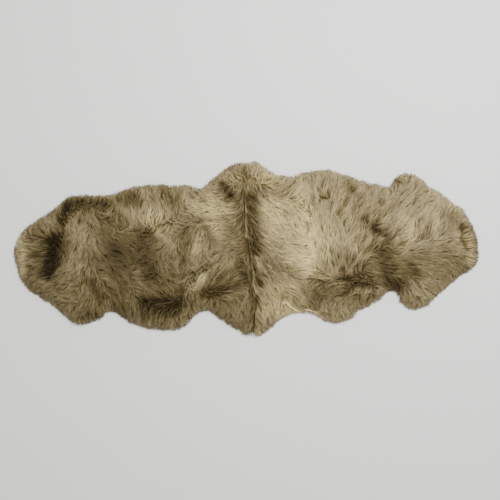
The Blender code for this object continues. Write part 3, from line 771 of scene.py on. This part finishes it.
def strand_path(x, y, reach, astray, swing, phase):
    """Points of each strand, one per stop: it steps from x, y along the nap, turned by astray, swinging."""
    paths = [(x, y)]
    for k in range(1, len(STOPS)):
        east, north = read(nap_x, x, y), read(nap_y, x, y)
        turn = np.arctan2(north, east) + astray + swing * np.sin(phase + 2.4 * k)
        step = reach * np.hypot(east, north) * (STOPS[k] - STOPS[k - 1])
        x, y = x + step * np.cos(turn), y + step * np.sin(turn)
        paths.append((x, y))
    return np.array(paths).transpose(2, 0, 1)


def strand_mesh(paths, tint_and_shade, filled, width):
    """Points, triangles, values and map places of three-sided tubes round the paths (strand, stop, xyz)."""
    count = len(paths)
    ahead = np.diff(paths[:, :, :2], axis=1)
    ahead = np.concatenate([ahead, ahead[:, -1:]], axis=1)
    ahead = ahead / (np.linalg.norm(ahead, axis=2, keepdims=True) + 1e-9)
    left = np.stack([-ahead[:, :, 1], ahead[:, :, 0], np.zeros(ahead.shape[:2])], axis=2)
    twist = rng.uniform(0, 2 * np.pi / 3, count)
    points = np.empty((count, POINTS, 3))
    for ring in range(RINGS):
        for corner in range(3):
            angle = twist + corner * 2 * np.pi / 3
            across = (np.cos(angle) * THICKNESS[ring] * width)[:, None] * left[:, ring]
            points[:, ring * 3 + corner] = paths[:, ring] + across
            points[:, ring * 3 + corner, 2] += np.sin(angle) * THICKNESS[ring] * width * 0.8
    points[:, -1] = paths[:, -1]
    points[:, :, 2] = np.maximum(points[:, :, 2], FLOOR_CLEARANCE)
    tip, last = POINTS - 1, POINTS - 4
    pattern = [(0, 2, 1)]
    for ring in range(0, last, 3):
        for corner in range(3):
            a, b = ring + corner, ring + (corner + 1) % 3
            pattern += [(a, b, b + 3), (a, b + 3, a + 3)]
    pattern += [(last, last + 1, tip), (last + 1, last + 2, tip), (last + 2, last, tip)]
    faces = np.array(pattern)[None] + POINTS * np.arange(count)[:, None, None]
    along = np.maximum(np.append(np.repeat(STOPS[:-1], 3), 1.0), PARTING_LIGHT * filled[:, None])
    tints_and_shades = np.concatenate([np.repeat(tint_and_shade[:, :-1], 3, axis=1), tint_and_shade[:, -1:]], axis=1)
    slip = np.array((0, 1, 2) * RINGS + (1,))
    u = UV_LOW + UV_SPAN * along + UV_SLIP * (slip == 1)
    v = UV_LOW + UV_SPAN * tints_and_shades + UV_SLIP * slip
    values = {"along": along, "tint_and_shade": tints_and_shades}
    return points.reshape(-1, 3), faces.reshape(-1, 3), values, np.stack([u, v], 2).reshape(-1, 2)


# %% Grow every strand
def read_seam(y):
    """x of the seam at y."""
    return np.interp(y, grid_y, seam_x)


def grow():
    """All strands of both pelts: root x, on the right or not, path, tint with its painted shade and light,
    how far in a parting, width.
    """
    lock_x, lock_y = hex_points(LOCK_SPACING)
    groove = SEAM_GROOVE / (1 + np.exp((lock_y - SEAM_STRIP_TOP + 60 * MM) / (15 * MM)))
    grows = (read(depth, lock_x, lock_y) > 1.5 * MM) & (abs(lock_x - read_seam(lock_y)) > groove)
    lock_x, lock_y = lock_x[grows], lock_y[grows]
    locks = len(lock_x)
    owner = np.repeat(np.arange(locks), STRANDS_IN_LOCK)
    count = len(owner)
    spread_turn = rng.uniform(0, 2 * np.pi, count)
    spread = LOCK_SPREAD * np.sqrt(rng.uniform(0, 1, count))
    off_x, off_y = spread * np.cos(spread_turn), spread * np.sin(spread_turn)
    x, y = lock_x[owner] + off_x, lock_y[owner] + off_y
    on_right = lock_x[owner] > read_seam(lock_y[owner])
    least_right, most_left = read_seam(y) + SEAM_CLEAR, read_seam(y) - SEAM_CLEAR
    x = np.where(on_right, np.maximum(x, least_right), np.minimum(x, most_left))
    deep = read(depth, x, y)
    own_length = rng.normal(1, LOCK_LENGTHS, locks)[owner] + rng.normal(0, STRAND_LENGTHS, count)
    length = STRAND_LENGTH * own_length
    outward = read(nap_x, x, y) * read(out_x, x, y) + read(nap_y, x, y) * read(out_y, x, y)
    outward = np.maximum(outward, 0.15)
    room = deep + np.minimum(rng.exponential(5, count), 16) * MM
    near_rim = deep < STRAND_LENGTH
    length = np.where(near_rim, np.minimum(length, np.maximum(room, SHORTEST) / outward), length)
    rim = np.clip(1 - deep / (40 * MM), 0, 1)
    swing = rng.normal(0, LOCK_SWING, locks)[owner]
    swing += rng.normal(0, 1, count) * (STRAND_SWING + RIM_SWING * rim)
    quiet = read(calm, x, y)
    swing *= (1 - 0.85 * read(seam_hug, x, y)) * (1 - 0.5 * quiet)
    phase = rng.uniform(0, 2 * np.pi, locks)[owner] + rng.normal(0, 0.4, count)
    filled = read(parting, x, y)
    astray = filled * rng.normal(0, LOCK_STRAY, locks)[owner]
    flat = strand_path(x, y, length, astray, swing, phase)
    flat_x, flat_y = flat[:, :, 0], flat[:, :, 1]
    gather = (TIP_GATHER * (1 - 0.8 * rim))[:, None] * STOPS
    flat_x -= gather * off_x[:, None]
    flat_y -= gather * off_y[:, None]
    part_at_creases(x, y, flat)
    allowed = np.minimum(rng.exponential(4.5, count), 15) * MM
    excess = np.maximum(-allowed[:, None] - read(depth, flat_x, flat_y), 0)
    back_x, back_y = excess * read(out_x, flat_x, flat_y), excess * read(out_y, flat_x, flat_y)
    flat -= np.stack([back_x, back_y], axis=2)
    lift = (rng.normal(0, 1.2, locks)[owner] + rng.normal(0, 0.3, count)) * MM * (1 - 0.6 * quiet)
    lump = LUMP * waves(flat_x, flat_y, 38 * MM, 9)
    lump += LOCK_RIDGE * (1 - 0.7 * quiet)[:, None] * read(fine_locks, flat_x, flat_y)
    height = read(wool_top, flat_x, flat_y)
    room_up = np.clip(height / (30 * MM), 0.15, 1)
    rise = RISE * room_up * (1 - PARTING_FALL * filled)[:, None]
    z = height + rise + (lift[:, None] + lump) * STOPS * room_up
    paths = np.concatenate([flat, np.maximum(z, 2.2 * MM)[:, :, None]], axis=2)
    middle_x, middle_y = flat_x[:, 2], flat_y[:, 2]
    own = 0.05 * read(fine_locks, middle_x, middle_y) + 0.012 * read(broad_locks, middle_x, middle_y)
    own += rng.normal(-0.03, LOCK_TINTS, locks)[owner] + rng.normal(0, STRAND_TINTS, count)
    own *= 1 - 0.6 * quiet
    # The tint of each point holds the streaks' painted shade and painted light as well as the wool's own
    # tone.
    tint_and_shade = np.clip(read(tint_and_shade_map, flat_x, flat_y) + own[:, None], 0.01, 0.99)
    width = rng.uniform(0.75, 1.2, count) * np.clip(deep / (60 * MM) + 0.5, 0.5, 1)
    return x, on_right, paths, tint_and_shade, filled, width


root_x, on_right, paths, tint_and_shade, filled, width = grow()
print("strands:", len(root_x))

# %% Put the strands into pieces by part of the pelt
WOOL_BANDS = (
    ("left_neck_wool", False, -9, -0.56),
    ("left_back_wool", False, -0.56, -0.27),
    ("left_rump_wool", False, -0.27, 9),
    ("right_rump_wool", True, -9, 0.29),
    ("right_back_wool", True, 0.29, 0.58),
    ("right_neck_wool", True, 0.58, 9),
)
for name, right, start, stop in WOOL_BANDS:
    mine = (on_right == right) & (root_x >= start) & (root_x < stop)
    points, faces, values, uv = strand_mesh(paths[mine], tint_and_shade[mine], filled[mine], width[mine])
    piece = mesh_piece(name, points, faces, dyed_wool, values, uv)
    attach(piece, "root")


# %% [markdown]
# ## The under wool
# Below the locks the wool is a dense mat, coloured with painted shade so that it reads as shadow. It is one
# closed slab for each pelt, a little lower than the locks, and it takes the imported solid's place.

# %% A slab cut to the outline of the pelt
def slab(level, spacing, bottom, top):
    """Points and quads of a closed slab over the part of the maps where level is above 0.
    Its edge points slide along the level's slope onto 0. bottom and top give heights at x and y."""
    xs = np.arange(grid_x[0], grid_x[-1], spacing)
    ys = np.arange(grid_y[0], grid_y[-1], spacing)
    x, y = (part.ravel() for part in np.meshgrid(xs, ys))
    keep = (read(level, x, y) > -0.35 * spacing).reshape(len(ys), len(xs))
    cell = keep[:-1, :-1] & keep[1:, :-1] & keep[:-1, 1:] & keep[1:, 1:]
    i, j = np.nonzero(cell)
    corner = i * len(xs) + j
    quads = np.stack([corner, corner + 1, corner + len(xs) + 1, corner + len(xs)], axis=1)
    used, quads = np.unique(quads, return_inverse=True)
    quads = quads.reshape(-1, 4)
    x, y = x[used], y[used]
    ends = np.stack([quads, np.roll(quads, -1, axis=1)], axis=2).reshape(-1, 2)
    order = np.sort(ends, axis=1)
    _, first, times = np.unique(order, axis=0, return_index=True, return_counts=True)
    rim = ends[first[times == 1]]
    on_rim = np.unique(rim)
    slope_y, slope_x = np.gradient(level, STEP)
    for _ in range(3):
        px, py = x[on_rim], y[on_rim]
        gx, gy = read(slope_x, px, py), read(slope_y, px, py)
        move = np.clip(read(level, px, py) / (gx**2 + gy**2 + 0.05), -spacing, spacing)
        x[on_rim], y[on_rim] = px - gx * move, py - gy * move
    count = len(x)
    points = np.concatenate([np.stack([x, y, bottom(x, y)], 1), np.stack([x, y, top(x, y)], 1)])
    walls = np.stack([rim[:, 0], rim[:, 1], rim[:, 1] + count, rim[:, 0] + count], axis=1)
    return points, np.concatenate([quads[:, ::-1], quads + count, walls])


# %% Root wool, matted, darkened with painted shade
def mat_material(name):
    """Matted wool in painted shade: the lock's tone darkened by a cloudy painted shade of 14 mm, with tufts
    of 3 mm.
    """
    material, tree = new_material(name)
    tone_and_shade = ramp(tree, carried(tree, "tint_and_shade"), WOOL_TONES)
    cloud = clouds(tree, 14 * MM, 4)
    shade = ramp(tree, cloud, ((0.3, "#7d7460"), (0.55, "#96907c"), (0.75, "#aaa48f")))
    tufts = clouds(tree, 3 * MM, 3)
    bump = node(tree, "Bump", {"Strength": 0.6, "Distance": 2 * MM}, {"Height": tufts})
    add_shader(
        tree,
        {"Roughness": 0.9, "Specular IOR Level": 0.05, "Diffuse Roughness": 0.8},
        {"Base Color": multiplied(tree, tone_and_shade, shade), "Normal": bump.outputs[0]},
    )
    return material


root_wool = mat_material("matted_root_wool_painted_shade")
MAT_DEPTH = 8.5 * MM
MAT_LUMP = 1.4 * MM
PARTING_PAINTED_LIGHT = 0.05
HIDE_BOTTOM, HIDE_TOP = 0.9 * MM, 2.5 * MM


def mat_top(x, y):
    """The under wool's height: below the locks, by less at a parting, and gently lumpy."""
    sunk = MAT_DEPTH * (1 - 0.5 * read(parting, x, y))
    height = read(wool_top, x, y) - sunk + MAT_LUMP * waves(x, y, 30 * MM, 21)
    return np.maximum(height, HIDE_TOP + 1.5 * MM)


def flat_at(height):
    """A function that gives the same height everywhere."""
    return lambda x, y: np.full(x.shape, height)


for name, sign, solid, slot in (
    ("left_under_wool", -1, "left_pelt", "left_fleece"),
    ("right_under_wool", 1, "right_pelt", "right_fleece"),
):
    level = np.minimum(depth - 7 * MM, sign * side - 0.2 * MM)
    points, faces = slab(level, 9 * MM, flat_at(HIDE_TOP), mat_top)
    x, y = points[:, 0], points[:, 1]
    # The mat's tone is the tint map with its painted shade, lifted at partings as painted light.
    tone_and_shade = np.clip(read(tint_and_shade_map, x, y) + PARTING_PAINTED_LIGHT * read(parting, x, y), 0, 1)
    piece = mesh_piece(name, points, faces, root_wool, {"tint_and_shade": tone_and_shade})
    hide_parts(solid)
    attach(piece, "root")

# %% [markdown]
# ## The skin side
# Tanned sheepskin is a cream suede about one and a half millimetres thick. It is a sheet cut to
# the pelt's own outline, and it lies on the floor under the wool.


# %% Tanned sheepskin, suede side
def suede_material(name):
    """Tanned skin: cream, cloudy at 60 mm, with a fine nap of 1.5 mm that scatters light."""
    material, tree = new_material(name)
    cloud = clouds(tree, 60 * MM, 5)
    colour = ramp(tree, cloud, ((0.3, "#c9b48e"), (0.55, "#dccba8"), (0.8, "#e6dabd")))
    fine_nap = clouds(tree, 1.5 * MM, 2)
    bump = node(tree, "Bump", {"Strength": 0.35, "Distance": 0.3 * MM}, {"Height": fine_nap})
    add_shader(
        tree,
        {"Roughness": 0.88, "Specular IOR Level": 0.2, "Sheen Weight": 0.2, "Diffuse Roughness": 0.7},
        {"Base Color": colour, "Normal": bump.outputs[0]},
    )
    return material


suede = suede_material("tanned_sheepskin_suede")
HIDE_SIZES = (("left_hide", -1, (0.937, 0.69)), ("right_hide", 1, (0.913, 0.70)))
for name, sign, flat in HIDE_SIZES:
    level = np.minimum(depth - 9 * MM, sign * side - 0.2 * MM)
    points, faces = slab(level, 14 * MM, flat_at(HIDE_BOTTOM), flat_at(HIDE_TOP))
    piece = mesh_piece(name, points, faces, suede, smooth=False)
    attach(piece, "root")

# %% [markdown]
# ## The seam thread
# The pelts are butted and overcast from the skin side with a waxed thread, so that no ridge
# shows in the wool. Each stitch crosses the join a little aslant.


# %% Waxed linen thread, overcast
CORNERS = 6
STITCH_STEP = 6 * MM
STITCH_HALF, STITCH_SLANT = 4 * MM, 1.5 * MM
THREAD_HALF, THREAD_HEIGHT = 0.36 * MM, 0.45 * MM


def stitches():
    """A row of short tubes: each crosses the seam over 8 mm while moving 3 mm along it."""
    start, end = grid_y[both][0] + 12 * MM, grid_y[both][-1] - 12 * MM
    at = np.arange(start, end, STITCH_STEP)
    t = np.linspace(-1, 1, 7)
    turn = np.linspace(0, 2 * np.pi, CORNERS, endpoint=False)
    s, v, a = np.meshgrid(at, t, turn, indexing="ij")
    thick = THREAD_HALF * np.sqrt(np.maximum(1 - v**2, 0.02))
    y = s + STITCH_SLANT * v + thick * np.cos(a)
    x = read_seam(y) + STITCH_HALF * v
    z = THREAD_HEIGHT + thick * np.sin(a)
    return np.stack([x, y, z], axis=3)


def tube_mesh(rings):
    """Quads and end fans of closed six-sided tubes from points (tube, ring, corner, xyz)."""
    count, stops, corners = rings.shape[:3]
    index = np.arange(count * stops * corners).reshape(count, stops, corners)
    near, far = index[:, :-1], index[:, 1:]
    quads = np.stack([near, far, np.roll(far, -1, 2), np.roll(near, -1, 2)], axis=3).reshape(-1, 4)
    caps = []
    for ring, order in ((index[:, 0], (0, 1, 2, 3)), (index[:, -1], (3, 2, 1, 0))):
        for first in (0, 3):
            ids = [(first + k) % corners for k in range(4)]
            caps.append(ring[:, [ids[k] for k in order]])
    return np.concatenate([quads] + caps)


linen, tree = new_material("waxed_linen_thread")
add_shader(tree, {"Base Color": linear("#cdbb93"), "Roughness": 0.55, "Specular IOR Level": 0.35})
rings = stitches()
thread = mesh_piece("seam_thread", rings.reshape(-1, 3), tube_mesh(rings), linen)
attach(thread, "root")

# %% [markdown]
# ## The bare edge of the skin
# At the foot of the right pelt the wool is thin, and the skin's edge curls up through it as two
# cream lines. Each is a narrow lens-shaped tube laid along one of the creases above, because a
# strip of the flat hide would have to be bent through the wool to show there.


# %% Two curled lips of tanned skin
LIP_STOPS = 29
LIP_HALF_HEIGHT = 1.1 * MM
LIP_LIFT = 1.5 * MM


def skin_lips():
    """Each lip follows its crease: a tube of oval section whose width thins out at the ends as 1 - s^4."""
    s = np.linspace(-1, 1, LIP_STOPS)
    turn = np.linspace(0, 2 * np.pi, CORNERS, endpoint=False)
    swell = np.maximum(1 - s**4, 0.06)
    rings = []
    for name, *numbers, half in CREASES:
        if not name.startswith("skin edge"):
            continue
        x, y = bent(*numbers, LIP_STOPS)
        ahead = np.stack([np.gradient(x), np.gradient(y)])
        ahead_x, ahead_y = (ahead / np.hypot(*ahead))[:, :, None]
        wide = (half * MM * swell * (1 + 0.2 * np.sin(7 * s)))[:, None] * np.cos(turn)
        high = LIP_HALF_HEIGHT * np.sqrt(swell)[:, None] * np.sin(turn)
        ground = (read(wool_top, x, y) + LIP_LIFT)[:, None]
        ring_x, ring_y = x[:, None] - ahead_y * wide, y[:, None] + ahead_x * wide
        rings.append(np.stack([ring_x, ring_y, ground + high], axis=2))
    return np.array(rings)


bare_skin, tree = new_material("curled_bare_skin")
stain = clouds(tree, 12 * MM, 3)
cream = ramp(tree, stain, ((0.32, "#b98f58"), (0.45, "#d6bf88"), (0.7, "#e9d9a4")))
add_shader(tree, {"Roughness": 0.8, "Specular IOR Level": 0.2}, {"Base Color": cream})
rings = skin_lips()
lips = mesh_piece("skin_edge_lips", rings.reshape(-1, 3), tube_mesh(rings), bare_skin)
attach(lips, "root")

# %% [markdown]
# ## The floor, the light and the camera
# A plain pale floor, one big soft lamp above the right end and a bright sky give soft shadows
# along the lower edge. The camera hangs straight above the rug.

# %% Floor and light
floor_material, tree = new_material("pale_floor")
add_shader(tree, {"Base Color": linear("#e8e9e7"), "Roughness": 0.9, "Specular IOR Level": 0.1})
corners = np.array([(-6, -6, 0), (6, -6, 0), (6, 6, 0), (-6, 6, 0)], float)
floor = mesh_piece("floor", corners, np.array([(0, 1, 2, 3)]), floor_material, smooth=False)

lamp_data = bpy.data.lights.new("soft_lamp", "AREA")
lamp_data.shape = "DISK"
lamp_data.size = 2.4
lamp_data.energy = 125
lamp = bpy.data.objects.new("soft_lamp", lamp_data)
lamp.location = (0.9, 1.2, 2.5)
lamp.rotation_euler = lamp.location.to_track_quat("Z", "Y").to_euler()
bpy.context.scene.collection.objects.link(lamp)

world = bpy.data.worlds.new("soft_sky")
world.use_nodes = True
world.node_tree.nodes["Background"].inputs["Color"].default_value = linear("#f6f5f2")
world.node_tree.nodes["Background"].inputs["Strength"].default_value = 0.96
bpy.context.scene.world = world

# %% Camera
LENS, SENSOR = 50, 36
VIEW_WIDTH = 1.927
camera_data = bpy.data.cameras.new("camera")
camera_data.lens = LENS
camera_data.sensor_width = SENSOR
camera = bpy.data.objects.new("camera", camera_data)
camera.location = (0.0135, -0.0058, VIEW_WIDTH / SENSOR * LENS)
bpy.context.scene.collection.objects.link(camera)
bpy.context.scene.camera = camera
